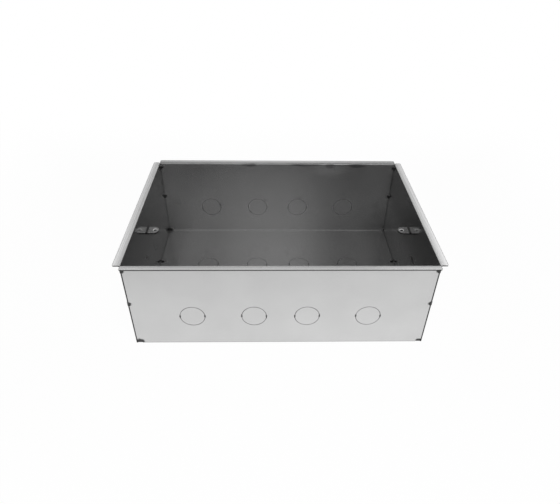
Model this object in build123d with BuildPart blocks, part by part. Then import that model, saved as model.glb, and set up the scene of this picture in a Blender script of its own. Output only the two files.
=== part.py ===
from build123d import *
import os

os.makedirs("parts", exist_ok=True)

# An open floor box of galvanised sheet steel, let into a floor up to its rim.
# One sheet is folded into the front wall, base and back wall. Two end plates close
# its ends and are tack welded to it. All four walls turn out into a flange at the
# top, and a small bracket inside each end plate takes a screw of the lid.
# The origin is at the middle of the base's underside, with X along the box,
# Y from the front wall to the back wall and Z up. Lengths are in millimetres.

# Driving dimensions
box_length = 360
box_depth = 250
box_height = 125
sheet = 1.2
bend_inside = 1.2
flange_width = 7.5
flange_corner = 1.5

# Knockouts, the round blanks that are punched out where a conduit comes in
knockout_diameter = 30
slit_width = 0.35
tie_width = 1.0
tie_slot_length = 4.4
tie_slot_width = 1.2
column_inner = 32
column_outer = 106
row_offset = 33
knockout_height = 47
tie_turns = (2, -5, 3, -1.5)

# Notches that free the ends of the two long bends, and the weld that closes them
relief_length = 6.5
relief_height = 6.5
relief_depth = 3
relief_corner = 1.5
fill_recess = 0.3
fill_thickness = 1.4

# Brackets that take the lid's screws
bracket_thickness = 2
bracket_width = 15
bracket_reach = 15.5
bracket_top = 87
bracket_end_radius = 7.4
screw_tapping_diameter = 4.2
screw_countersink_diameter = 5.4
screw_from_wall = 10.5
bracket_weld_radius = 1.4

# Tack welds
tack_radius = 2
tack_length = 7.5
tack_taper = 1.2
corner_tack_heights = (67, 117)
base_tack_offset = 39

# Worked out from the sizes above
half_length = box_length / 2
half_depth = box_depth / 2
bend_outside = bend_inside + sheet
flange_underside = box_height - sheet
wrap_length = box_length - 2 * sheet
half_wrap = wrap_length / 2
inner_wall_y = half_depth - sheet
relief_inside = half_depth - relief_depth
knockout_radius = knockout_diameter / 2
columns = (-column_outer, -column_inner, column_inner, column_outer)


# The line that a punch leaves round one blank: a fine slit, opened out into a short
# slot at either side, where a narrow tie still joins the blank to the sheet
with BuildSketch() as knockout:
    Circle(knockout_radius)
    Circle(knockout_radius - slit_width, mode=Mode.SUBTRACT)
    with Locations((-knockout_radius, 0), (knockout_radius, 0)):
        Rectangle(tie_slot_width, tie_slot_length)
    Rectangle(3 * knockout_radius, tie_width, mode=Mode.SUBTRACT)


# The outline of a notch, centred on the corner that it frees
with BuildSketch() as relief:
    RectangleRounded(2 * relief_length, 2 * relief_height, relief_corner)


# Front wall, base and back wall, folded from one sheet with a flange along both edges
with BuildPart() as body_wrap:
    with BuildSketch(Plane.YZ.offset(-half_wrap)):
        with BuildLine():
            FilletPolyline(
                (-half_depth - flange_width, flange_underside),
                (-half_depth, flange_underside),
                (-half_depth, 0),
                (half_depth, 0),
                (half_depth, flange_underside),
                (half_depth + flange_width, flange_underside),
                radius=(bend_inside, bend_outside, bend_outside, bend_inside),
            )
            offset(amount=sheet, side=Side.LEFT)
        make_face()
    extrude(amount=wrap_length)

    # The flanges' four corners are rounded
    flange_ends = body_wrap.edges().filter_by(Axis.Z).group_by(SortBy.LENGTH)[0]
    fillet(flange_ends.filter_by_position(Axis.Z, flange_underside, box_height), radius=flange_corner)

    # Notches at both ends of both long bends
    with BuildSketch(Plane.XZ.offset(relief_inside), Plane.XZ.offset(-half_depth)):
        with Locations((-half_wrap, 0), (half_wrap, 0)):
            add(relief.sketch)
    extrude(amount=relief_depth, mode=Mode.SUBTRACT)

    # One row of knockouts goes through the front wall and the back wall
    with BuildSketch(Plane.XZ):
        for column, turn in zip(columns, tie_turns):
            with Locations(Location((column, knockout_height, 0), (0, 0, turn))):
                add(knockout.sketch)
    extrude(amount=box_depth, both=True, mode=Mode.SUBTRACT)

    # Two rows of knockouts go through the base
    with BuildSketch(Plane.XY):
        for row in (-row_offset, row_offset):
            for column, turn in zip(columns, tie_turns):
                with Locations(Location((column, row, 0), (0, 0, turn))):
                    add(knockout.sketch)
    extrude(amount=sheet, mode=Mode.SUBTRACT)

body_wrap.part.label = "body_wrap"
export_step(body_wrap.part, "parts/body_wrap.step")


# End plate, with its own flange. Its lower corners follow the long bends
with BuildPart() as end_plate:
    with BuildSketch(Plane.XZ):
        with BuildLine():
            FilletPolyline(
                (-half_length - flange_width, flange_underside),
                (-half_length, flange_underside),
                (-half_length, 0),
                radius=bend_inside,
            )
            offset(amount=sheet, side=Side.LEFT)
        make_face()
    extrude(amount=half_depth, both=True)

    fillet(end_plate.edges().filter_by(Axis.Z).group_by(Axis.X)[0], radius=flange_corner)
    fillet(end_plate.edges().filter_by(Axis.X).group_by(Axis.Z)[0], radius=bend_outside)

    with BuildSketch(Plane.YZ.offset(-half_length)):
        for row, turn in zip((-row_offset, row_offset), tie_turns):
            with Locations(Location((row, knockout_height, 0), (0, 0, turn))):
                add(knockout.sketch)
    extrude(amount=sheet, mode=Mode.SUBTRACT)


# Bracket for a screw of the lid: a tab that stands out from the end plate, rounded at
# its end, with a tapped hole that is countersunk on top
with BuildPart() as lid_bracket:
    with Locations((-half_wrap, 0, bracket_top)):
        Box(
            bracket_reach,
            bracket_width,
            bracket_thickness,
            align=(Align.MIN, Align.CENTER, Align.MAX),
        )
    fillet(lid_bracket.edges().filter_by(Axis.Z).group_by(Axis.X)[-1], radius=bracket_end_radius)

    with Locations((-half_wrap + screw_from_wall, 0, bracket_top)):
        CounterSinkHole(
            screw_tapping_diameter / 2,
            screw_countersink_diameter / 2,
            depth=bracket_thickness,
            counter_sink_angle=90,
        )


# A short run of weld along a seam, tapered at its ends
with BuildPart() as weld_run:
    Cylinder(tack_radius, tack_length)
    chamfer(weld_run.edges().filter_by(GeomType.CIRCLE), length=tack_taper)

# Inside the box, the runs lie in the angle between two sheets
with BuildPart() as inner_tacks:
    for height in corner_tack_heights:
        with Locations((-half_wrap, -inner_wall_y, height), (-half_wrap, inner_wall_y, height)):
            add(weld_run.part)
    with Locations(
        Location((-half_wrap, -base_tack_offset, sheet), (90, 0, 0)),
        Location((-half_wrap, base_tack_offset, sheet), (90, 0, 0)),
    ):
        add(weld_run.part)
    with Locations((0, 0, sheet)):
        Box(
            wrap_length,
            2 * inner_wall_y,
            box_height,
            align=(Align.CENTER, Align.CENTER, Align.MIN),
            mode=Mode.INTERSECT,
        )

# The weld that closes a notch follows the bend, a little below the outer faces
with BuildPart() as notch_fill:
    with BuildSketch(Plane.YZ.offset(-half_wrap)):
        with BuildLine():
            FilletPolyline(
                (-half_depth + fill_recess, relief_height),
                (-half_depth + fill_recess, fill_recess),
                (-relief_inside, fill_recess),
                radius=bend_outside,
            )
            offset(amount=fill_thickness, side=Side.LEFT)
        make_face()
    extrude(amount=relief_length)
    with BuildSketch(Plane.XZ.offset(relief_inside)):
        with Locations((-half_wrap, 0)):
            add(relief.sketch)
    extrude(amount=relief_depth, mode=Mode.INTERSECT)

# The weld that holds the bracket runs along the seam above it
with BuildPart() as bracket_weld:
    with Locations(Location((-half_wrap, 0, bracket_top), (90, 0, 0))):
        Cylinder(bracket_weld_radius, bracket_width)
    with Locations((-half_wrap, 0, bracket_top)):
        Box(
            bracket_reach,
            bracket_width,
            bracket_thickness,
            align=(Align.MIN, Align.CENTER, Align.MIN),
            mode=Mode.INTERSECT,
        )

# Outside, the runs cover the corners where the end plate meets the front and back wall
with BuildPart() as tack_welds:
    for height in corner_tack_heights:
        with Locations((-half_wrap, -inner_wall_y, height), (-half_wrap, inner_wall_y, height)):
            add(weld_run.part)
    Box(box_length, box_depth, 2 * box_height, mode=Mode.SUBTRACT)
    add(inner_tacks.part)
    add(notch_fill.part)
    mirror(notch_fill.part, about=Plane.XZ)
    add(bracket_weld.part)


# The right end mirrors the left one
for piece, name in ((end_plate, "end_plate"), (lid_bracket, "lid_bracket"), (tack_welds, "tack_welds")):
    with BuildPart() as right_piece:
        mirror(piece.part, about=Plane.YZ)
    piece.part.label = "left_" + name
    right_piece.part.label = "right_" + name
    export_step(piece.part, f"parts/left_{name}.step")
    export_step(right_piece.part, f"parts/right_{name}.step")
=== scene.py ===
# %% [markdown]
# A floor box of galvanised sheet steel: one long sheet folded into the front wall, the
# base and the back wall, with an end plate tack welded on at either end. Its shape is
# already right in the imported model, so this lesson is about its finish: bare metal that
# mirrors a plain studio, raw sheared edges, scorched welds and the fine lines of the
# knockouts. Lengths are in metres.

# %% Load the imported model
from math import degrees, radians

import bpy
from mathutils import Matrix, Vector


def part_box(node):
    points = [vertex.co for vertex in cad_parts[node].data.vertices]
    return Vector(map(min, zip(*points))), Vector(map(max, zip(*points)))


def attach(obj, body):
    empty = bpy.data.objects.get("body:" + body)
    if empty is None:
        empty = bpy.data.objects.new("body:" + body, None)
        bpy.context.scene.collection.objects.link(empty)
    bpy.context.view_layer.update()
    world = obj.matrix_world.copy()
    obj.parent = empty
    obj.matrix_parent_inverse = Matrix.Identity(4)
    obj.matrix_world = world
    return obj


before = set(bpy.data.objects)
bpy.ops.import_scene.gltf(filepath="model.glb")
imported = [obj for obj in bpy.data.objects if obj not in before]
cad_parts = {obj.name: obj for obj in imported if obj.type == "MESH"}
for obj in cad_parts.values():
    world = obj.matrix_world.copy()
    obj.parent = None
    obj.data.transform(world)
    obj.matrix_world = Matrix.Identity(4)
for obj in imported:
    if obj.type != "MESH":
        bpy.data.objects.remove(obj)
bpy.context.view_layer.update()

mm = 0.001
print("nodes:", ", ".join(sorted(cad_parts)))

# %% [markdown]
# The sizes that the finish needs are read from the model, so that they aren't typed in
# twice. The long sheet's box gives the inner faces of the end plates and the tips of the
# front and back flanges. An end plate's box gives the outer faces of the walls. X runs
# along the box, Y from the front wall to the back wall and Z up.

# %% Read the sizes
wrap_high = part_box("body_wrap")[1]
plate_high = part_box("right_end_plate")[1]
bracket_low, bracket_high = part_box("right_lid_bracket")
sheet = 1.2 * mm
plate_inside = wrap_high[0]
plate_outside = plate_inside + sheet
wall_outside = plate_high[1]
wall_inside = wall_outside - sheet
rim = wrap_high[2]
flange_tip_x = plate_high[0]
flange_tip_y = wrap_high[1]
bracket_top = bracket_high[2]
print(f"outside {2 * plate_outside:.3f} x {2 * wall_outside:.3f} x {rim:.3f} m")

# %% [markdown]
# A material in Blender is a tree of nodes, and its maths is easier to read as sums than
# as a page of nodes. A small class wraps an output socket and gives it Python's
# operators, so `1 - mask * 0.5` adds the Math nodes by itself. Colours and vectors go
# through Vector Math instead, because a Math node would turn them grey.

# %% Write shader maths as sums
class Signal:
    """An output socket that can be used in sums."""

    def __init__(self, finish, output):
        self.finish = finish
        self.output = output

    def _sum(self, operation, first, second):
        sides = (first, second)
        plain = all(not isinstance(side, Signal) or side.output.type == "VALUE" for side in sides)
        plain = plain and not any(isinstance(side, tuple) for side in sides)
        kind = "ShaderNodeMath" if plain else "ShaderNodeVectorMath"
        return self.finish.node(kind, {"operation": operation}, {0: first, 1: second})

    def __add__(self, other):
        return self._sum("ADD", self, other)

    def __radd__(self, other):
        return self._sum("ADD", other, self)

    def __sub__(self, other):
        return self._sum("SUBTRACT", self, other)

    def __rsub__(self, other):
        return self._sum("SUBTRACT", other, self)

    def __mul__(self, other):
        return self._sum("MULTIPLY", self, other)

    def __rmul__(self, other):
        return self._sum("MULTIPLY", other, self)

    def __truediv__(self, other):
        return self._sum("DIVIDE", self, other)

    def __rtruediv__(self, other):
        return self._sum("DIVIDE", other, self)

    def __pow__(self, other):
        return self._sum("POWER", self, other)


# %% [markdown]
# Every other node comes from one method, `node`, which takes the node's type, its own
# settings and the values or links of its inputs. The methods after it give plain names
# to the few nodes that the finishes use over and over: a soft step, random clouds, a
# blend of two values and the larger of two.

# %% Add any other node
class Finish:
    """The node tree of a material or of the world."""

    def __init__(self, owner):
        owner.use_nodes = True
        self.tree = owner.node_tree
        self.tree.nodes.clear()

    def node(self, kind, settings=None, inputs=None, output=0):
        """Add a node, its own settings first, and return one of its outputs."""
        made = self.tree.nodes.new(kind)
        for name, value in (settings or {}).items():
            setattr(made, name, value)
        for name, value in (inputs or {}).items():
            socket = made.inputs[name]
            if isinstance(value, Signal):
                self.tree.links.new(value.output, socket)
            elif socket.type == "VECTOR" and isinstance(value, (int, float)):
                socket.default_value = (value, value, value)
            else:
                socket.default_value = value
        return Signal(self, made.outputs[output])

    def place(self):
        """Where the surface point is, in metres from the box's origin."""
        return self.node("ShaderNodeTexCoord", output="Object")

    def split(self, vector):
        parts = self.node("ShaderNodeSeparateXYZ", inputs={"Vector": vector})
        outputs = parts.output.node.outputs
        return [Signal(self, outputs[axis]) for axis in "XYZ"]

    def step(self, value, low, high):
        """0 at low, 1 at high and smooth between. low may be the larger."""
        return self.node(
            "ShaderNodeMapRange",
            {"interpolation_type": "SMOOTHSTEP"},
            {"Value": value, "From Min": low, "From Max": high},
        )

    def clouds(self, vector, size, detail=2.0, stretch=(1, 1, 1)):
        """Soft random patches about size metres across, between 0 and 1."""
        scaled = vector * tuple(part / size for part in stretch)
        return self.node(
            "ShaderNodeTexNoise",
            {"noise_dimensions": "3D"},
            {"Vector": scaled, "Scale": 1.0, "Detail": detail},
            output="Fac",
        )

    def blend(self, amount, first, second):
        """first where amount is 0, second where it is 1, for values."""
        return self.node("ShaderNodeMix", {"data_type": "FLOAT"}, {"Factor": amount, 2: first, 3: second})

    def larger(self, first, second):
        return self.node("ShaderNodeMath", {"operation": "MAXIMUM"}, {0: first, 1: second})

    def any_of(self, masks):
        """Several masks as one: 1 where at least one of them is 1."""
        whole, *others = masks
        for mask in others:
            whole = self.larger(whole, mask)
        return whole

    def size_of(self, value):
        """The value without its sign."""
        return self.node("ShaderNodeMath", {"operation": "ABSOLUTE"}, {0: value})

    def grey(self, level):
        return self.node("ShaderNodeCombineColor", inputs={"Red": level, "Green": level, "Blue": level})

    def surface(self, shader):
        """Close the tree with its shader."""
        in_world = isinstance(self.tree.id_data, bpy.types.World)
        kind = "ShaderNodeOutputWorld" if in_world else "ShaderNodeOutputMaterial"
        ending = self.tree.nodes.new(kind)
        self.tree.links.new(shader.output, ending.inputs["Surface"])


# %% [markdown]
# A mark such as scorch or dirt sits at a known place on the box, so its mask is worked
# out from the surface point's own coordinates, which start at the box's origin. A
# texture painted by hand would do it too, but it needs an unwrapped mesh, and these masks
# stay sharp at any size. A mark is a soft ball with three half sizes. Where the four
# corners have the same mark, X and Y are made positive first, so that one mark serves
# all four. How far a point lies past the walls' outer faces tells inside from outside:
# past the middle of the sheet, going in, it is inside.

# %% Places and marks
class Point:
    """A point of the box's surface, and how far out it lies."""

    def __init__(self, finish):
        self.place = finish.place()
        self.rightward, self.backward, self.z = finish.split(self.place)
        self.x = finish.size_of(self.rightward)
        self.y = finish.size_of(self.backward)
        self.past_wall = finish.larger(self.x - plate_outside, self.y - wall_outside)
        self.inside = finish.step(self.past_wall, -0.4 * mm, -0.8 * mm)


def folded(finish, place):
    """The place with its X and Y made positive, so that one mark serves all four corners."""
    x, y, z = finish.split(place)
    parts = {"X": finish.size_of(x), "Y": finish.size_of(y), "Z": z}
    return finish.node("ShaderNodeCombineXYZ", inputs=parts)


def spots(finish, place, marks):
    """1 inside each mark and 0 outside. A mark is a centre and three half sizes."""
    masks = []
    for centre, half_sizes in marks:
        from_centre = (place - centre) / half_sizes
        apart = finish.node(
            "ShaderNodeVectorMath", {"operation": "LENGTH"}, {0: from_centre}, output="Value"
        )
        masks.append(finish.step(apart, 1.0, 0.5))
    return finish.any_of(masks)


# %% [markdown]
# Scorch. A weld burns the zinc off the sheet round it and leaves matt black scale, with
# a ragged edge. Two tacks hold each corner, one at mid height and one under the rim, and
# more lie along the base, at the ends of the long bends and above each bracket. The
# ragged edge is made by shaking the place with a fine noise before the marks are read.

# %% Scorch round the welds
low_tack = 67 * mm
high_tack = 117 * mm
base_tack = 39 * mm
burnt_grey = 0.03
ragged_scale = 450.0
ragged_reach = 3 * mm
scorch_marks = [
    ((plate_inside, wall_inside, low_tack), (4.5 * mm, 3.5 * mm, 3.8 * mm)),
    ((plate_inside, wall_inside, high_tack), (5 * mm, 4 * mm, 4 * mm)),
    ((plate_inside, base_tack, sheet), (8 * mm, 4 * mm, 2.5 * mm)),
    ((plate_inside, wall_outside, 2.5 * mm), (4 * mm, 4 * mm, 4 * mm)),
    ((plate_inside - 0.4 * mm, 0, bracket_top), (1.1 * mm, 8.5 * mm, 1.8 * mm)),
]
left_front_scorch = ((-plate_inside + 3 * mm, -wall_outside, 3.5 * mm), (8 * mm, 2 * mm, 6.5 * mm))


def scorch(finish, place):
    """How burnt the steel is, with a ragged edge to each mark."""
    ragged = finish.node(
        "ShaderNodeTexNoise",
        {"noise_dimensions": "3D"},
        {"Vector": place, "Scale": ragged_scale, "Detail": 3.0},
        output="Color",
    )
    shaken = place + (ragged - (0.5, 0.5, 0.5)) * ragged_reach
    corners = spots(finish, folded(finish, shaken), scorch_marks)
    return finish.larger(corners, spots(finish, shaken, [left_front_scorch]))


print(len(scorch_marks), "kinds of weld are scorched")

# %% [markdown]
# Cut edges. A shear leaves the sheet's edge bare of zinc, rough and dark. Those edges are
# the only faces that lie at the sheet's own limits, so the place alone finds them, and
# the mesh needs no second material.

# %% Cut edges
def sheared(finish, point, limits):
    """1 on the cut edges outside the box, and much less on those that show inside."""
    end_x, end_y = limits
    cut_x = finish.step(point.x, end_x - 0.5 * mm, end_x - 0.1 * mm)
    cut_y = finish.step(point.y, end_y - 0.5 * mm, end_y - 0.1 * mm)
    return finish.larger(cut_x, cut_y) * (1 - point.inside * 0.8)


# %% [markdown]
# The knockouts' dark lines. A knockout is a round blank that is punched almost free. The
# cut itself is in the model, and is far finer than a pixel, so a soft dark line is also
# painted along it: a ring is where the distance from the blank's middle equals its radius.
# At either side of the blank, where the punch opens the cut into a slot, the line swells to
# a blot, which is painted shade in the slot. The line is worn away in patches. X and
# Y are positive here, so the columns and rows on the positive side stand for all.

# %% The knockouts' dark lines
columns = [-106 * mm, -32 * mm, 32 * mm, 106 * mm]
rows = [-33 * mm, 33 * mm]
tie_turns = [2, -5, 3, -1.5]
knockout_height = 47 * mm
knockout_radius = 14.85 * mm
line_half_width = 0.75 * mm
blot_half_width = 1.2 * mm
blot_half_height = 2.6 * mm


def ring_lines(finish, across, along, centres, worn):
    """1 on a thin line round each centre, and on a blot at either side of it."""
    masks = []
    for centre_across, centre_along in centres:
        sideways = finish.size_of(across - centre_across)
        upward = along - centre_along
        off_line = finish.size_of((sideways * sideways + upward * upward) ** 0.5 - knockout_radius)
        masks.append(finish.step(off_line, line_half_width, line_half_width * 0.3) * worn)
        # The blot at each tie is painted shade in the slot.
        blot_x = (sideways - knockout_radius) / blot_half_width
        blot_y = upward / blot_half_height
        masks.append(finish.step(blot_x * blot_x + blot_y * blot_y, 1.0, 0.2))
    return finish.any_of(masks)


def end_plate_lines(finish, point):
    """The dark line along the cut of the end plates' knockouts."""
    worn = finish.clouds(point.place, 7 * mm)
    return ring_lines(finish, point.y, point.z, [(rows[1], knockout_height)], worn)


def folded_sheet_lines(finish, point):
    """The same for the knockouts of the front wall, base and back wall."""
    worn = finish.clouds(point.place, 7 * mm)
    wall_centres = [(column, knockout_height) for column in columns[2:]]
    base_centres = [(column, rows[1]) for column in columns[2:]]
    walls = ring_lines(finish, point.x, point.z, wall_centres, worn)
    base = ring_lines(finish, point.x, point.y, base_centres, worn)
    on_walls = finish.step(point.y, wall_inside - 3 * mm, wall_inside - 2 * mm)
    return finish.blend(on_walls, base, walls)


print(len(columns), "columns and", len(rows), "rows of knockouts")

# %% [markdown]
# Dirt. Hands and rags leave dark smears under the rim, four on the back wall's inside and
# one on the front wall's outside. The back wall also has a few dull blots and one cleaner
# patch. Inside the end plates there is a dark blot at the left and a dark streak over
# the front knockout at the right. They are seen at a very flat angle, where any shiny
# steel turns bright, so they have to be matt as well as dark. The marks inside are kept
# thin, or they would come through to the outside of the sheet.

# %% Dirt on the sheets
smears = [
    ((-44 * mm, wall_inside, 122.5 * mm), (14 * mm, 8 * mm, 5 * mm)),
    ((42 * mm, wall_inside, 123 * mm), (30 * mm, 8 * mm, 4 * mm)),
    ((80 * mm, wall_inside, 121 * mm), (9 * mm, 8 * mm, 6 * mm)),
    ((122 * mm, wall_inside, 122 * mm), (19 * mm, 8 * mm, 6 * mm)),
    ((19 * mm, -wall_outside, 116 * mm), (12 * mm, 3 * mm, 9 * mm)),
]


def on_back_wall(x, z, half_width, half_height):
    """A thin mark on the inside of the back wall."""
    return (x * mm, wall_inside - 1 * mm, z * mm), (half_width * mm, 1.6 * mm, half_height * mm)


back_wall_blots = [
    on_back_wall(35, 64.5, 8, 5),
    on_back_wall(-43, 38, 5, 5),
    on_back_wall(-91, 52, 6, 8),
    on_back_wall(-120, 42, 6, 6),
    on_back_wall(-105, 32, 9, 4),
    on_back_wall(104, 72, 8, 5),
    on_back_wall(-20, 60, 6, 5),
]
clean_patch = on_back_wall(82, 117, 50, 24)
dark_blot = ((-plate_inside + 1 * mm, -25 * mm, 59 * mm), (1.6 * mm, 4.5 * mm, 5.5 * mm))
dark_streak = ((plate_inside - 0.5 * mm, -37 * mm, 62.8 * mm), (1.2 * mm, 15 * mm, 5 * mm))
print(len(smears), "smears and", len(back_wall_blots), "blots")

# %% [markdown]
# What each kind of sheet has of its own. The inside of the box mirrors itself two or
# three times over, and each reflection takes some light away, so small differences in
# the sheet show strongly. Two functions answer the same questions for the two kinds of
# sheet. The first value is how bright the inside is painted, where 1 changes nothing: it
# is painted light and shade by place, and the next value does the same for the flange.
# Seam is where dirt sits in the corners, lines are its knockouts' lines, and the last
# value says how much of those lines shows inside.

# %% The end plates' own marks
def end_plate_marks(finish, point, right_end):
    """The mask right_end is 1 at the box's right end and 0 from the middle leftward."""
    high = finish.step(point.z, 40 * mm, 90 * mm)
    by_wall = finish.step(point.y, wall_inside - 1.5 * mm, wall_inside - 0.3 * mm)
    by_base = finish.step(point.z, sheet + 1.5 * mm, sheet + 0.3 * mm)
    # A dark blot and a dark streak inside the end plates, matt and nearly black like the scorch.
    blot = spots(finish, point.place, [dark_blot]) * 0.8
    streak = spots(finish, point.place, [dark_streak]) * 0.65
    return {
        # Painted shade high up inside the end plates, and painted light low down at the right end.
        "painted_light_and_tone": 1 + (1 - high) * right_end * 0.26 - high * (0.22 + right_end * 0.06),
        "flange shine": 1.0,
        "metal": 0.95,
        "burnt": finish.larger(blot, streak),
        "seam": finish.larger(by_wall, by_base),
        "lines": end_plate_lines(finish, point),
        "line left inside": 0.1,
    }


# %% [markdown]
# The folded sheet's inside has painted shade low down and toward both ends, and painted
# light on the far side of the base. A painted highlight, a thin line of light, lies along
# the long bend between the base and the walls.

# %% The folded sheet's own marks
def folded_sheet_marks(finish, point, right_end):
    on_base = finish.step(point.y, wall_inside - 1 * mm, wall_inside - 3 * mm)
    high = finish.step(point.z, 5 * mm, 60 * mm)
    top = finish.step(point.z, 80 * mm, 120 * mm)
    base_rear = finish.step(point.backward, 30 * mm, 110 * mm)
    flange_rear = finish.step(point.backward, 0, 100 * mm)
    left_end = finish.step(point.rightward, -30 * mm, -130 * mm)
    near_wall = finish.step(point.y, wall_inside - 2.4 * mm, wall_inside - 1.4 * mm)
    near_base = finish.step(point.z, sheet + 2.4 * mm, sheet + 1.4 * mm)
    # Painted light and shade by place: darker low down and toward both ends, lighter on the far side of the
    # base.
    painted_light_and_tone = finish.blend(on_base, 0.88 + high * 0.16, 1.04 + base_rear * 0.1)
    painted_light_and_tone = painted_light_and_tone * (1 - right_end * 0.15 * (1 - top)) * (1 - left_end * high * 0.07)
    painted_light_and_tone = painted_light_and_tone + spots(finish, point.place, [clean_patch]) * 0.45
    # A painted highlight along the bend between the base and the walls.
    painted_light_and_tone = painted_light_and_tone + near_wall * near_base * 0.22
    return {
        "painted_light_and_tone": painted_light_and_tone,
        # The flange is painted a little darker toward the right end and the back.
        "flange shine": 1 - right_end * 0.05 - flange_rear * 0.06,
        "metal": 0.95 - finish.step(point.x, 90 * mm, 165 * mm) * point.inside * 0.05,
        "burnt": 0.0,
        "seam": finish.step(point.x, plate_inside - 1.5 * mm, plate_inside - 0.3 * mm),
        "lines": folded_sheet_lines(finish, point),
        "line left inside": finish.blend(on_base, 0.15, 0.5),
    }


# %% [markdown]
# The walls' grey. Bare zinc-coated steel is a metal with a grey of about 0.6. Rolling and
# dipping leave it a little cloudy, with a fine spangle of zinc crystals and streaks along
# the sheet, so three sizes of noise are added up. Outside, the lower bend is painted dark:
# painted shade where the box meets the ground.

# %% The walls' grey
def wall_grey(finish, point, look, marks, patches, streaks):
    """The grey of a wall or the base, inside and outside, with all its dirt and its painted light and shade.
    """
    place = point.place
    spangle = finish.clouds(place, 5 * mm)
    smear = spots(finish, place, smears) * finish.clouds(place, 14 * mm, detail=3)
    within = look["grey"] + (patches - 0.5) * 0.05 + (spangle - 0.5) * 0.04 + (streaks - 0.5) * 0.03
    # The inside's own grey, times its painted light and shade.
    within = within * (1 - smear * 0.75) * marks["painted_light_and_tone"]
    outside = 0.595 + finish.step(point.rightward, -150 * mm, 150 * mm) * 0.025
    outside = outside + (patches - 0.5) * 0.09 + (streaks - 0.5) * 0.015
    level = finish.blend(point.inside, outside, within)
    level = level * (1 - marks["seam"] * point.inside * 0.35)
    # Painted shade along the outside of the lower bend, where the box meets the ground.
    lower_bend_painted_shade = finish.step(point.z, 2.6 * mm, 1.2 * mm) * (1 - point.inside)
    level = level * (1 - lower_bend_painted_shade * 0.9)
    return level * (1 - spots(finish, place, back_wall_blots) * 0.22)


# %% [markdown]
# The sheet steel. All that was gathered so far comes together in one material for each
# kind of sheet, and masks choose what shows where, because the model's sheets are single
# pieces. The flange on top is scuffed, less like a mirror than the walls, and its pale
# grey is painted light; its bend has painted shade. Knockout lines, cut edges and scorch
# lie over all of it. Thin sheet is never quite flat: a shallow, wide bump bends what it
# mirrors. The end plates have their own values, for they are seen at a flat angle: their
# lower grey is painted shade, and their flange's white grey with little metal is painted light.

# %% The sheet steel's finish
edge_grey = 0.07
# The flange's pale grey with less metal is painted light.
folded_sheet = {
    "limits": (plate_inside, flange_tip_y),
    "grain": (0.03, 1, 1),
    "grey": 0.6,
    "roughness": 0.19,
    "flange grey with painted light": 0.88,
    "flange metal": 0.75,
    "flange metal lost at right": 0.0,
}
# The end plates' lower grey is painted shade; their flange's grey of 1 with little metal is painted light.
end_plate = {
    "limits": (flange_tip_x, wall_outside),
    "grain": (1, 0.03, 1),
    "grey": 0.47,
    "roughness": 0.14,
    "flange grey with painted light": 1.0,
    "flange metal": 0.44,
    "flange metal lost at right": 0.2,
}


def sheet_steel(name, look, own_marks):
    material = bpy.data.materials.new(name)
    finish = Finish(material)
    point = Point(finish)
    patches = finish.clouds(point.place, 45 * mm, detail=3)
    streaks = finish.clouds(point.place, 1.6 * mm, stretch=look["grain"])
    scuffs = finish.clouds(point.place, 2.5 * mm, detail=3, stretch=look["grain"])
    waves = finish.clouds(point.place, 120 * mm, detail=1)
    right_end = finish.step(point.rightward, 20 * mm, 110 * mm)
    marks = own_marks(finish, point, right_end)
    flange = finish.step(point.z, rim - 1.6 * mm, rim - 0.4 * mm)
    # Painted shade in the flange's bend, darker toward the wall.
    flange_bend_painted_shade = finish.step(point.past_wall, 7 * mm, -1 * mm)
    cut = sheared(finish, point, look["limits"])
    burnt = finish.larger(scorch(finish, point.place), marks["burnt"])

    # The flange's pale grey is painted light, with its scuffs on top.
    flange_scuffs_and_painted_light = (look["flange grey with painted light"] + (scuffs - 0.5) * 0.1) * (1 - flange_bend_painted_shade * 0.33)
    level = wall_grey(finish, point, look, marks, patches, streaks)
    level = finish.blend(flange, level, flange_scuffs_and_painted_light * marks["flange shine"])
    level = level * (1 - marks["lines"] * finish.blend(point.inside, 0.9, marks["line left inside"]))
    level = finish.blend(cut, level, edge_grey)
    level = finish.blend(burnt, level, burnt_grey)

    roughness = look["roughness"] + (patches - 0.5) * 0.06 + (streaks - 0.5) * 0.04
    roughness = finish.blend(flange, roughness, 0.22 + scuffs * 0.1)
    roughness = finish.blend(cut, roughness, 0.5)
    roughness = finish.blend(burnt, roughness, 0.6)

    flange_metal = look["flange metal"] - right_end * look["flange metal lost at right"]
    bump = finish.node(
        "ShaderNodeBump", inputs={"Strength": 0.4, "Distance": 1.0 * mm, "Height": waves * 0.5}
    )
    shader = finish.node(
        "ShaderNodeBsdfPrincipled",
        inputs={
            "Base Color": finish.grey(level),
            "Metallic": finish.blend(flange, marks["metal"], flange_metal),
            "Roughness": roughness,
            "Normal": bump,
        },
    )
    finish.surface(shader)
    print(name, len(finish.tree.nodes), "nodes")
    return material


wrap_steel = sheet_steel("folded sheet steel", folded_sheet, folded_sheet_marks)
plate_steel = sheet_steel("end plate steel", end_plate, end_plate_marks)

# %% [markdown]
# Each bracket is a punched tab. Its top is plain steel and its sheared sides are nearly
# black. Round the screw's hole the countersink has a painted highlight, a bright ring.
# Down in the hole, the bore is painted shade, nearly black. Distance from the hole's
# middle gives the ring and the hole, and height gives the sides.

# %% The brackets' finish
screw_place = plate_inside - 10.5 * mm
screw_radius = 2.1 * mm


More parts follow.
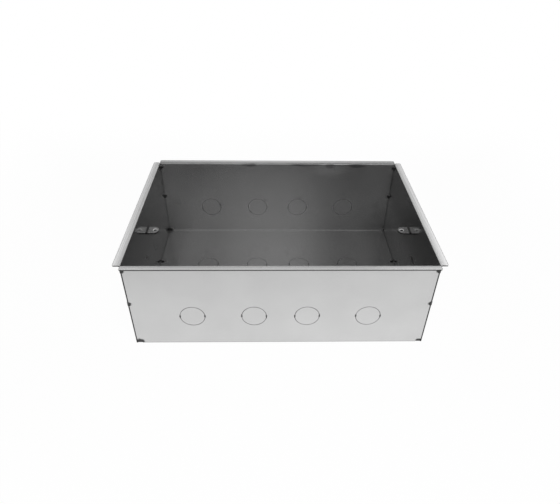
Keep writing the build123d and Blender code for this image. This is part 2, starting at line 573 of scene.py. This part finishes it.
def bracket_finish():
    material = bpy.data.materials.new("bracket steel")
    finish = Finish(material)
    point = Point(finish)
    patches = finish.clouds(point.place, 5 * mm, detail=3)
    from_screw = ((point.x - screw_place) ** 2 + point.y * point.y) ** 0.5
    # A painted highlight: a bright ring round the countersink.
    ring = finish.step(from_screw, screw_radius + 1.3 * mm, screw_radius + 0.8 * mm)
    # Painted shade down the bore of the hole.
    hole_painted_shade = finish.step(from_screw, screw_radius + 0.15 * mm, screw_radius)
    side = finish.step(point.z, bracket_top - 0.1 * mm, bracket_top - 0.3 * mm) * (1 - ring)
    dark_sides_and_hole_shade = finish.larger(side, hole_painted_shade)
    level = 0.44 + (patches - 0.5) * 0.16
    level = finish.blend(ring, level, 0.8 + patches * 0.3)
    level = finish.blend(dark_sides_and_hole_shade, level, 0.04)
    level = finish.blend(scorch(finish, point.place), level, burnt_grey)
    shader = finish.node(
        "ShaderNodeBsdfPrincipled",
        inputs={
            "Base Color": finish.grey(level),
            "Metallic": 0.93 - ring * (1 - hole_painted_shade) * 0.4,
            "Roughness": 0.2 + patches * 0.15 + dark_sides_and_hole_shade * 0.3,
        },
    )
    finish.surface(shader)
    return material


bracket_steel = bracket_finish()
print(f"the screw's hole is {screw_place:.4f} m from the middle")

# %% [markdown]
# The weld beads are rough, burnt metal. Where a weld closes a notch at the end of a bend
# it was run flat, and its rim already looks like the sheet. Its middle is dark: partly
# scorch and partly painted shade, the shadow under the box that shows through an open
# notch. The left rear one is darkest on the inside, the right rear one hardly dark at all.
# A fine bump gives the beads their ripples.

# %% The welds' finish
notch_start = 119 * mm
notch_height = 8 * mm
notch_scorch_and_shade = [
    ((-plate_inside, wall_inside, 2.5 * mm), (8 * mm, 7 * mm, 5.5 * mm)),
    ((plate_inside, wall_inside, 2 * mm), (2.5 * mm, 3 * mm, 3 * mm)),
    ((-plate_inside + 3 * mm, -wall_outside, 3 * mm), (12 * mm, 8 * mm, 9 * mm)),
    ((plate_inside - 2 * mm, -wall_outside, 2 * mm), (7 * mm, 7 * mm, 6 * mm)),
]
burnt_tacks = [
    ((plate_inside, wall_inside, low_tack), (8 * mm, 8 * mm, 4 * mm)),
    ((plate_inside, wall_inside, high_tack), (8 * mm, 8 * mm, 4.5 * mm)),
    ((plate_inside, base_tack, sheet), (8 * mm, 4 * mm, 8 * mm)),
    ((plate_inside, 0, bracket_top), (8 * mm, 20 * mm, 8 * mm)),
]


def weld_metal():
    material = bpy.data.materials.new("burnt weld")
    finish = Finish(material)
    point = Point(finish)
    in_notch = finish.step(point.y, notch_start, notch_start + 1 * mm)
    in_notch = in_notch * finish.step(point.z, notch_height, notch_height - 0.5 * mm)
    # The notches' dark middles: scorch and painted shade from under the box.
    notch_scorch_and_shade_middles = spots(finish, point.place, notch_scorch_and_shade)
    tack_middles = spots(finish, folded(finish, point.place), burnt_tacks)
    plain = finish.blend(in_notch, 0.7 - tack_middles * 0.7, 1 - notch_scorch_and_shade_middles)
    scale = finish.clouds(point.place, 1.2 * mm, detail=3)
    ripples = finish.clouds(point.place, 0.7 * mm, detail=1)
    level = finish.blend(plain, burnt_grey + scale * 0.09, 0.45 + scale * 0.15)
    relief = (scale + ripples * 0.5) * (1 - plain)
    bump = finish.node(
        "ShaderNodeBump", inputs={"Strength": 0.8, "Distance": 0.4 * mm, "Height": relief}
    )
    shader = finish.node(
        "ShaderNodeBsdfPrincipled",
        inputs={
            "Base Color": finish.grey(level),
            "Metallic": finish.blend(plain, 0.8, 0.93),
            "Roughness": finish.blend(plain, 0.4 + scale * 0.3, 0.22),
            "Normal": bump,
        },
    )
    finish.surface(shader)
    return material


burnt_weld = weld_metal()
print(len(notch_scorch_and_shade), "notches and", len(burnt_tacks), "kinds of tack are burnt")

# %% [markdown]
# The raw steel is for the torn metal in the knockouts' cuts and for the screw threads.
# Torn steel has no zinc, so outside it is nearly black against the pale sheet. Inside,
# the sheet is dark itself, and the burr shows about as dark as the sheet, except in the
# end plates, where it stays black.

# %% The raw steel's finish
def raw_steel():
    material = bpy.data.materials.new("raw cut steel")
    finish = Finish(material)
    point = Point(finish)
    grit = finish.clouds(point.place, 0.8 * mm)
    within = finish.step(point.past_wall, -0.5 * mm, -0.9 * mm)
    above_base = finish.step(point.z, 0.4 * mm, 0.8 * mm)
    off_end_plates = finish.step(point.x, 170 * mm, 165 * mm)
    level = finish.blend(within * above_base * off_end_plates, 0.1, 0.38) + grit * 0.1
    shader = finish.node(
        "ShaderNodeBsdfPrincipled",
        inputs={"Base Color": finish.grey(level), "Metallic": 1.0, "Roughness": 0.45 + grit * 0.2},
    )
    finish.surface(shader)
    return material


raw_cut = raw_steel()

# %% [markdown]
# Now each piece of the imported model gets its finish. A piece keeps its mesh, and only the
# material in its slots is exchanged, so its shape and size can't change.

# %% Put the finishes on the pieces
node_finish = {
    "body_wrap": wrap_steel,
    "left_end_plate": plate_steel,
    "right_end_plate": plate_steel,
    "left_lid_bracket": bracket_steel,
    "right_lid_bracket": bracket_steel,
    "left_tack_welds": burnt_weld,
    "right_tack_welds": burnt_weld,
}
for node, material in node_finish.items():
    for material_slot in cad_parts[node].material_slots:
        material_slot.material = material
    print(node, "is", material.name)

# %% [markdown]
# The knockouts. A punch cuts round each blank but leaves two narrow ties, so the blank
# stays in place until an electrician knocks it out. The cut never stays open: the torn
# steel of its sides closes it as a thin, dark burr, and at each tie the punch leaves a
# dark pocket. One burr and its two pockets are made once and put at all twenty knockouts,
# each turned a little differently. First comes the list of their places, each with the
# three turns, in degrees, that lay a flat ring into its sheet.

# %% Where the knockouts are
mid_sheet = sheet / 2
knockouts = []
for x, turn in zip(columns, tie_turns):
    for side in (-1, 1):
        knockouts.append(((x, side * (wall_outside - mid_sheet), knockout_height), (90, -turn, 0)))
    for y in rows:
        knockouts.append(((x, y, mid_sheet), (0, 0, turn)))
for y, turn in zip(rows, tie_turns):
    for side in (-1, 1):
        knockouts.append(((side * (plate_outside - mid_sheet), y, knockout_height), (90, -turn, 90)))
print(len(knockouts), "knockouts")


# %% [markdown]
# Geometry Nodes suit what repeats: a tree makes the shape once from named sizes and puts
# it at every point. These four helpers start a tree, add a node to it, end it and run it.
# A tree's inputs are set on the modifier by each socket's identifier, because names may
# repeat. Then the evaluated mesh is kept as a plain one and the modifier goes.

# %% Geometry Nodes helpers
def new_tree(name, sizes):
    """A Geometry Nodes tree with a geometry, one input for each size, and a material."""
    tree = bpy.data.node_groups.new(name, "GeometryNodeTree")
    face = tree.interface
    face.new_socket("Geometry", in_out="INPUT", socket_type="NodeSocketGeometry")
    face.new_socket("Geometry", in_out="OUTPUT", socket_type="NodeSocketGeometry")
    for size in sizes:
        face.new_socket(size, in_out="INPUT", socket_type="NodeSocketFloat")
    face.new_socket("Material", in_out="INPUT", socket_type="NodeSocketMaterial")
    return tree


def add_node(tree, kind, inputs=None, **settings):
    """One node: settings are its own, inputs are values or links by name or number."""
    made = tree.nodes.new(kind)
    for name, value in settings.items():
        setattr(made, name, value)
    for name, value in (inputs or {}).items():
        socket = made.inputs[name]
        if isinstance(value, bpy.types.NodeSocket):
            tree.links.new(value, socket)
        else:
            socket.default_value = value
    return made


def end_tree(tree, placed):
    """Make the instances real, give them the tree's material and send them out."""
    inlet = tree.nodes.new("NodeGroupInput").outputs
    outlet = tree.nodes.new("NodeGroupOutput").inputs
    real = add_node(tree, "GeometryNodeRealizeInstances", {"Geometry": placed.outputs["Instances"]})
    coloured = add_node(
        tree,
        "GeometryNodeSetMaterial",
        {"Geometry": real.outputs["Geometry"], "Material": inlet["Material"]},
    )
    tree.links.new(coloured.outputs["Geometry"], outlet["Geometry"])


def run_tree(name, tree, start, sizes, material):
    """Run the tree once on the start mesh and keep the result as a plain mesh."""
    holder = bpy.data.objects.new(name, start)
    bpy.context.scene.collection.objects.link(holder)
    modifier = holder.modifiers.new(name, "NODES")
    modifier.node_group = tree
    values = {**sizes, "Material": material}
    for item in tree.interface.items_tree:
        if item.in_out == "INPUT" and item.name in values:
            modifier[item.identifier] = values[item.name]
    shown = holder.evaluated_get(bpy.context.evaluated_depsgraph_get())
    mesh = bpy.data.meshes.new_from_object(shown)
    holder.modifiers.clear()
    holder.data = mesh
    mesh.name = name
    triangles = sum(len(face.vertices) - 2 for face in mesh.polygons)
    print(name, triangles, "triangles")
    return holder


# %% [markdown]
# The burr is a circle swept with a small rectangle, which Curve to Mesh does, and the
# pockets are two flat boxes on a line across it. The points that carry them hold their
# turns in an attribute, which Instance on Points reads as its rotation.

# %% Burrs and pockets
burr_sizes = {
    "Radius": knockout_radius,
    "Burr width": 0.6 * mm,
    "Burr depth": 1.1 * mm,
    "Pocket width": 1.4 * mm,
    "Pocket length": 4.6 * mm,
    "Pocket depth": 0.5 * mm,
}


def burr_tree():
    tree = new_tree("knockout burr", burr_sizes)
    inlet = tree.nodes.new("NodeGroupInput").outputs
    circle = add_node(
        tree, "GeometryNodeCurvePrimitiveCircle", {"Resolution": 96, "Radius": inlet["Radius"]}
    )
    profile = add_node(
        tree,
        "GeometryNodeCurvePrimitiveQuadrilateral",
        {"Width": inlet["Burr width"], "Height": inlet["Burr depth"]},
    )
    ring = add_node(
        tree,
        "GeometryNodeCurveToMesh",
        {"Curve": circle.outputs["Curve"], "Profile Curve": profile.outputs["Curve"]},
    )
    pocket_size = add_node(
        tree,
        "ShaderNodeCombineXYZ",
        {"X": inlet["Pocket width"], "Y": inlet["Pocket length"], "Z": inlet["Pocket depth"]},
    )
    pocket = add_node(tree, "GeometryNodeMeshCube", {"Size": pocket_size.outputs[0]})
    across = add_node(tree, "ShaderNodeCombineXYZ", {"X": inlet["Radius"]})
    opposite = add_node(
        tree, "ShaderNodeVectorMath", {0: across.outputs[0], "Scale": -1.0}, operation="SCALE"
    )
    pair = add_node(
        tree,
        "GeometryNodeMeshLine",
        {"Count": 2, "Start Location": opposite.outputs[0], "Offset": across.outputs[0]},
        mode="END_POINTS",
    )
    pockets = add_node(
        tree,
        "GeometryNodeInstanceOnPoints",
        {"Points": pair.outputs["Mesh"], "Instance": pocket.outputs["Mesh"]},
    )
    one = tree.nodes.new("GeometryNodeJoinGeometry")
    tree.links.new(ring.outputs["Mesh"], one.inputs[0])
    tree.links.new(pockets.outputs["Instances"], one.inputs[0])
    turn = add_node(
        tree, "GeometryNodeInputNamedAttribute", {"Name": "turn"}, data_type="FLOAT_VECTOR"
    )
    turned = add_node(tree, "FunctionNodeEulerToRotation", {"Euler": turn.outputs["Attribute"]})
    placed = add_node(
        tree,
        "GeometryNodeInstanceOnPoints",
        {
            "Points": inlet["Geometry"],
            "Instance": one.outputs["Geometry"],
            "Rotation": turned.outputs["Rotation"],
        },
    )
    end_tree(tree, placed)
    return tree


knockout_points = bpy.data.meshes.new("knockout points")
knockout_points.from_pydata([place for place, turn in knockouts], [], [])
turn_values = knockout_points.attributes.new("turn", "FLOAT_VECTOR", "POINT")
for value, (place, turn) in zip(turn_values.data, knockouts):
    value.vector = [radians(angle) for angle in turn]

burrs = run_tree("knockout_burrs", burr_tree(), knockout_points, burr_sizes, raw_cut)
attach(burrs, "root")

# %% [markdown]
# The screw thread. Each bracket's hole is tapped for one of the lid's screws. A thread is
# a ridge that climbs in a spiral, so a spiral curve with a small three-sided profile
# makes it, again with Geometry Nodes, and one point stands for each hole.

# %% Thread in the brackets' holes
thread_sizes = {"Radius": screw_radius, "Ridge": 0.3 * mm, "Turns": 1.6, "Height": 1.2 * mm}
thread_bottom = bracket_low[2] + 0.3 * mm


def thread_tree():
    tree = new_tree("screw thread", thread_sizes)
    inlet = tree.nodes.new("NodeGroupInput").outputs
    spiral = add_node(
        tree,
        "GeometryNodeCurveSpiral",
        {
            "Resolution": 32,
            "Rotations": inlet["Turns"],
            "Start Radius": inlet["Radius"],
            "End Radius": inlet["Radius"],
            "Height": inlet["Height"],
        },
    )
    profile = add_node(
        tree, "GeometryNodeCurvePrimitiveCircle", {"Resolution": 3, "Radius": inlet["Ridge"]}
    )
    ridge = add_node(
        tree,
        "GeometryNodeCurveToMesh",
        {"Curve": spiral.outputs["Curve"], "Profile Curve": profile.outputs["Curve"], "Fill Caps": True},
    )
    placed = add_node(
        tree,
        "GeometryNodeInstanceOnPoints",
        {"Points": inlet["Geometry"], "Instance": ridge.outputs["Mesh"]},
    )
    end_tree(tree, placed)
    return tree


thread_points = bpy.data.meshes.new("thread points")
thread_points.from_pydata([(side * screw_place, 0, thread_bottom) for side in (-1, 1)], [], [])
threads = run_tree("lid_screw_threads", thread_tree(), thread_points, thread_sizes, raw_cut)
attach(threads, "root")

# %% [markdown]
# The studio. Bare metal has almost no colour of its own: it shows what stands around it.
# Here that is a white floor, pale low walls, a grey backdrop behind the box and a darker
# room in front and above, which is why the outside looks light and the inside dark. The
# Light Path node tells what kind of ray asks for a colour: one from the camera, or one
# that bounced off something glossy.
#
# The floor shows white to both, though a little greyer farther out to the glossy ones. To
# all other rays it is matt white paint, and round the box the camera sees a little of
# that paint too, so that the box keeps its shadow. It lies a hair below the box, because
# two faces in one plane would flicker.

# %% Floor
floor_size = 16.0
floor_gap = 0.1 * mm
bpy.ops.mesh.primitive_plane_add(size=floor_size, location=(0, 0, -floor_gap))
floor = bpy.context.object
floor.name = "floor"


def ray_kinds(finish):
    """Two masks: 1 for the camera's own rays, and 1 for rays off glossy surfaces."""
    from_camera = finish.node("ShaderNodeLightPath", output="Is Camera Ray")
    from_gloss = Signal(finish, from_camera.output.node.outputs["Is Glossy Ray"])
    return from_camera, from_gloss


def floor_finish():
    material = bpy.data.materials.new("white floor")
    finish = Finish(material)
    point = Point(finish)
    from_camera, from_gloss = ray_kinds(finish)
    grain = finish.clouds(point.place, 0.4)
    paint = finish.node(
        "ShaderNodeBsdfPrincipled",
        inputs={"Base Color": finish.grey(0.88 + grain * 0.02), "Roughness": 0.9, "Specular IOR Level": 0.1},
    )
    fading = finish.step(point.past_wall, 0.0, 0.2)
    level = finish.larger(from_camera, finish.blend(fading, 1.0, 0.85))
    glow = finish.node("ShaderNodeEmission", inputs={"Color": finish.grey(level), "Strength": 1.0})
    far_away = finish.step(point.past_wall, 0.1, 0.5)
    glowing = finish.larger(from_camera * finish.blend(far_away, 0.96, 1.0), from_gloss)
    finish.surface(finish.node("ShaderNodeMixShader", inputs={0: glowing, 1: paint, 2: glow}))
    return material


floor.data.materials.append(floor_finish())
print(f"the floor is {floor_size:.0f} m wide")

# %% [markdown]
# The world paints the room for glossy rays only, by direction: the camera sees plain
# white, and everything else gets a low, even level of light. Level with the box the
# room has pale walls. Higher up there is a grey backdrop behind the box, with a bright
# panel at either side of it, and one grey strip in front. Overhead it is dark. These
# tones were found by following what each sheet of the box mirrors. Up is the sine of how
# high a direction points, and bearings are in degrees.

# %% World
world = bpy.data.worlds.new("studio")
bpy.context.scene.world = world
room = Finish(world)
direction = room.node("ShaderNodeTexCoord", output="Generated")
east, north, up = room.split(direction)
from_camera, from_gloss = ray_kinds(room)


def bearing(sideways, ahead):
    """How far to the right of straight ahead a direction points, in degrees."""
    turn = room.node("ShaderNodeMath", {"operation": "ARCTAN2"}, {0: sideways, 1: ahead})
    return turn * degrees(1)


low_walls = 0.8
backdrop_grey = 0.51
strip_grey = 0.41
darkest = 0.05
overhead = 0.2
even_light = 0.1

to_back = bearing(east, north)
from_middle = room.size_of(to_back)
backdrop = room.step(from_middle, 23, 4) * backdrop_grey
side_panels = room.step(from_middle, 12, 20) * room.step(up, 0.52, 0.58)
panel = room.blend(room.step(to_back, -12, 12), 0.75, 1.0)
backdrop = room.blend(side_panels, backdrop, panel)

# The strip in front stands a degree to one side, and ends sooner on that side
to_front = bearing(east, 0 - north)
from_strip = room.larger((to_front - 1.0) * 1.18, 1.0 - to_front)
front = darkest + room.step(from_strip, 18, 0) * strip_grey

behind = room.step(north, -0.25, 0.25)
upper_walls = room.blend(behind, front, backdrop)
mirrored = room.blend(room.step(up, 0.3, 0.42), low_walls, upper_walls)
mirrored = room.blend(room.step(up, 0.7, 0.85), mirrored, overhead)
level = room.larger(room.blend(from_gloss, even_light, mirrored), from_camera)
room.surface(room.node("ShaderNodeBackground", inputs={"Color": room.grey(level), "Strength": 1.0}))
print("world", len(room.tree.nodes), "nodes")

# %% [markdown]
# One large softbox in front and above gives the soft shadow round the box and the light
# on its scuffed edges. Glossy rays don't see it, or it would show in the steel as a hard
# white square. A lamp shines along its own -Z, so that axis is aimed at the box.

# %% Lamp
lamp_place = Vector((0.05, -1.1, 1.5))
lamp = bpy.data.lights.new("front softbox", "AREA")
lamp.shape = "SQUARE"
lamp.size = 1.2
lamp.energy = 32
softbox = bpy.data.objects.new("front softbox", lamp)
bpy.context.scene.collection.objects.link(softbox)
softbox.location = lamp_place
softbox.rotation_euler = (-lamp_place).to_track_quat("-Z", "Y").to_euler()
softbox.visible_glossy = False
print(f"softbox {lamp_place.length:.2f} m away")

# %% [markdown]
# The camera stands in front of the box and a little to its left, and looks down on it.
# Its place and lens were worked out from the box's corners in the photo. A camera looks
# along its own -Z, so three turns aim it: tip it up from straight down, swing it round,
# and roll it about its own line of sight.

# %% Camera
camera_place = (-0.0153, -0.5428, 0.4610)
pitch_down = radians(37.162)
swing_right = radians(1.795)
roll = radians(1.08)
sensor_width = 36.0
picture_width = 560
focal_pixels = 482.4

camera_data = bpy.data.cameras.new("camera")
camera_data.sensor_width = sensor_width
camera_data.lens = focal_pixels * sensor_width / picture_width
camera_data.clip_start = 0.01
camera = bpy.data.objects.new("camera", camera_data)
bpy.context.scene.collection.objects.link(camera)
aim = (
    Matrix.Rotation(-swing_right, 4, "Z")
    @ Matrix.Rotation(radians(90) - pitch_down, 4, "X")
    @ Matrix.Rotation(roll, 4, "Z")
)
camera.matrix_world = Matrix.Translation(camera_place) @ aim
bpy.context.scene.camera = camera
bpy.context.scene.view_settings.view_transform = "Standard"
print(f"lens {camera_data.lens:.2f} mm")
